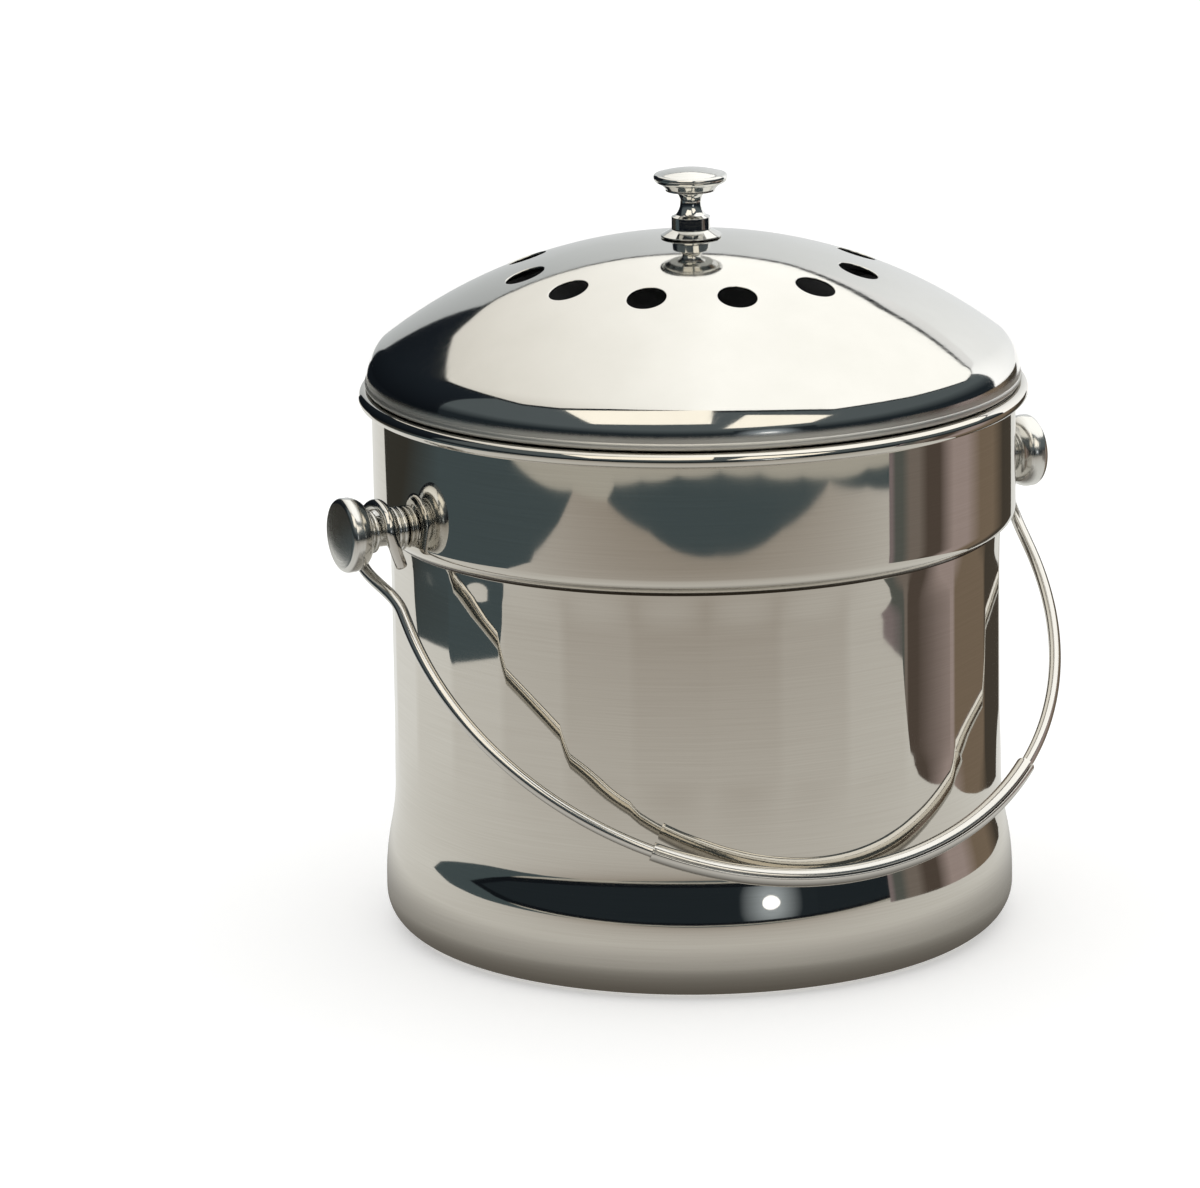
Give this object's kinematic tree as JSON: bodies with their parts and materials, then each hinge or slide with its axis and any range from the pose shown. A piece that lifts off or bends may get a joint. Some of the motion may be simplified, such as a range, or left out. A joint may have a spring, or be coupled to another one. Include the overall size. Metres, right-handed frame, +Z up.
{
  "type": "compost pail",
  "caption": "Polished steel kitchen compost pail with a stepped shoulder, a rolled rim, a swinging wire bail with a sleeve grip, and a vented domed lid that holds charcoal filter pads.",
  "frame": {"origin": "middle of the base, on the table", "axes": "+Z up along the pail's axis, X through both ear studs, the bail hangs forward at -Y"},
  "size_m": [0.2234, 0.193, 0.2203],
  "materials": {
    "polished_steel": "polished with fine rolling lines",
    "mirror_steel": "mirror polished",
    "turned_steel": "turned and polished",
    "wire_steel": "drawn and polished",
    "fastener_steel": "plain machine finish",
    "dark_plastic": "moulded, fine matte",
    "charcoal_felt": "felt with charcoal"
  },
  "bodies": {
    "pail": {"pail_body": "polished_steel", "ear_collar_left": "turned_steel", "ear_collar_right": "turned_steel", "ear_stud_left": "turned_steel", "ear_stud_right": "turned_steel", "ear_washer_left": "fastener_steel", "ear_washer_right": "fastener_steel", "ear_screw_left": "fastener_steel", "ear_screw_right": "fastener_steel"},
    "bail": {"bail_wire": "wire_steel", "bail_grip": "wire_steel"},
    "lid": {"lid_dome": "mirror_steel", "lid_skirt": "polished_steel", "knob_flange": "turned_steel", "lid_knob": "turned_steel", "filter_frame": "dark_plastic", "knob_washer": "fastener_steel", "knob_screw": "fastener_steel"},
    "filter_holder": {"filter_grille": "dark_plastic", "charcoal_filter_upper": "charcoal_felt", "charcoal_filter_lower": "charcoal_felt"}
  },
  "joints": [
    {"name": "bail_swing", "type": "hinge", "parent": "pail", "child": "bail", "pos_m": [0, 0, 0.1255], "axis": [-1, 0, 0], "range_deg": [0, 266]},
    {"name": "lid_lift", "type": "slide", "parent": "pail", "child": "lid", "axis": [0, 0, 1], "range_m": [0, 0.12]},
    {"name": "filter_pull", "type": "slide", "parent": "lid", "child": "filter_holder", "axis": [0, 0, -1], "range_m": [0, 0.03]}
  ]
}
